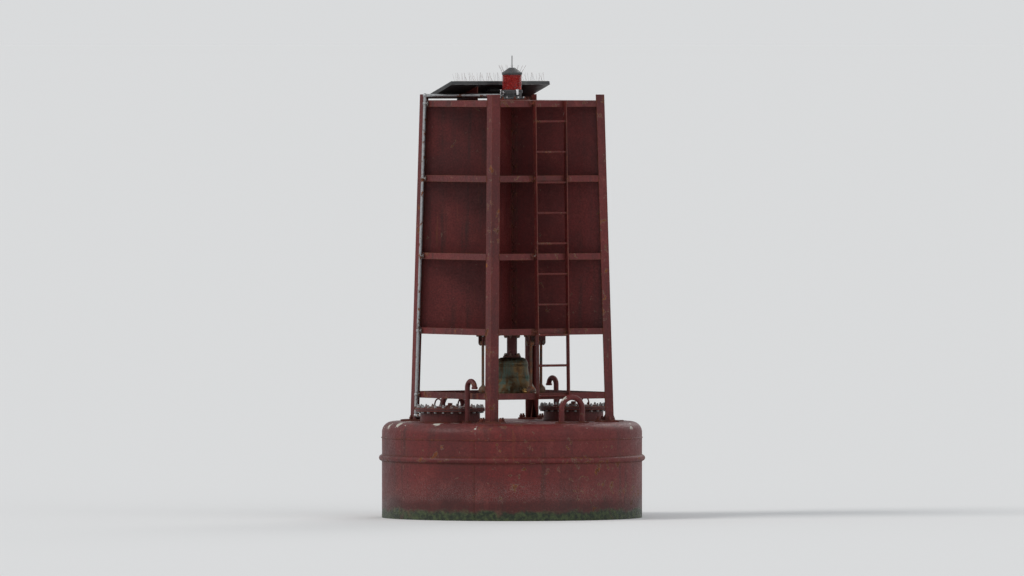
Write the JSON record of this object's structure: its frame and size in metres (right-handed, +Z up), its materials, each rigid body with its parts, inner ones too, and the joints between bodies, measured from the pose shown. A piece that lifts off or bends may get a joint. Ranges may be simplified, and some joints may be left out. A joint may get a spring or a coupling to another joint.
{
  "type": "lighted bell buoy",
  "caption": "Red steel bell buoy afloat: a drum hull with a ballasted tail, and a tower with a radar reflector, bell, tappers, lantern and solar panel.",
  "frame": {"origin": "on the buoy's axis at the surface of the water", "axes": "+Z up along the axis, -Y towards the front leg, +X towards the right leg"},
  "size_m": [2.5368, 2.5368, 7.919],
  "materials": {
    "red_paint": "weathered",
    "antifouling": "matte",
    "cast_iron": "matte",
    "zinc": "matte",
    "bare_steel": "weathered",
    "galvanised_steel": "matte",
    "bell_bronze": "weathered",
    "lantern_housing": "satin",
    "lamp_metal": "satin",
    "red_lens": "clear",
    "panel_aluminium": "satin",
    "solar_cells": "gloss"
  },
  "bodies": {
    "root": {"hull_drum": "red_paint", "deck_head": "red_paint", "bottom_cone": "antifouling", "fender_belt": "red_paint", "tail_tube": "antifouling", "tail_gussets": "antifouling", "ballast": "cast_iron", "mooring_eye_rear": "antifouling", "mooring_eye_front": "antifouling", "anodes": "zinc", "lifting_bail_rear": "red_paint", "lifting_bail_front": "red_paint", "bail_pads": "red_paint", "battery_pocket_rear": "red_paint", "battery_pocket_front": "red_paint", "pocket_cover_rear": "red_paint", "pocket_cover_front": "red_paint", "vent_pipes": "red_paint", "foot_plates": "red_paint", "leg_front": "red_paint", "leg_right": "red_paint", "leg_rear": "red_paint", "leg_left": "red_paint", "guard_rail": "red_paint", "reflector_bars": "red_paint", "reflector_plate_wide": "red_paint", "reflector_plate_front": "red_paint", "reflector_plate_rear": "red_paint", "reflector_floor": "red_paint", "reflector_shelves": "red_paint", "reflector_roof": "red_paint", "ladder_sides": "red_paint", "ladder_rungs": "red_paint", "bell": "bell_bronze", "bell_hanger": "red_paint", "tapper_brackets": "red_paint", "tapper_pins": "bare_steel", "lantern_platform": "red_paint", "lantern_base": "lantern_housing", "lantern_lens": "red_lens", "lantern_lamp": "lamp_metal", "lantern_cap": "lantern_housing", "solar_frame": "panel_aluminium", "solar_glass": "solar_cells", "solar_brackets": "red_paint", "cable_conduit": "galvanised_steel"},
    "tapper_rear_right": {"tapper_rear_right": "bare_steel"},
    "tapper_rear_left": {"tapper_rear_left": "bare_steel"},
    "tapper_front_left": {"tapper_front_left": "bare_steel"},
    "tapper_front_right": {"tapper_front_right": "bare_steel"}
  },
  "joints": [
    {"name": "swing_rear_right", "type": "hinge", "parent": "root", "child": "tapper_rear_right", "pos_m": [0.22981, 0.22981, 1.64], "axis": [0.7071, -0.7071, 0], "range_deg": [-4, 30]},
    {"name": "swing_rear_left", "type": "hinge", "parent": "root", "child": "tapper_rear_left", "pos_m": [-0.22981, 0.22981, 1.64], "axis": [0.7071, 0.7071, 0], "range_deg": [-4, 30]},
    {"name": "swing_front_left", "type": "hinge", "parent": "root", "child": "tapper_front_left", "pos_m": [-0.22981, -0.22981, 1.64], "axis": [-0.7071, 0.7071, 0], "range_deg": [-4, 30]},
    {"name": "swing_front_right", "type": "hinge", "parent": "root", "child": "tapper_front_right", "pos_m": [0.22981, -0.22981, 1.64], "axis": [-0.7071, -0.7071, 0], "range_deg": [-4, 30]}
  ]
}
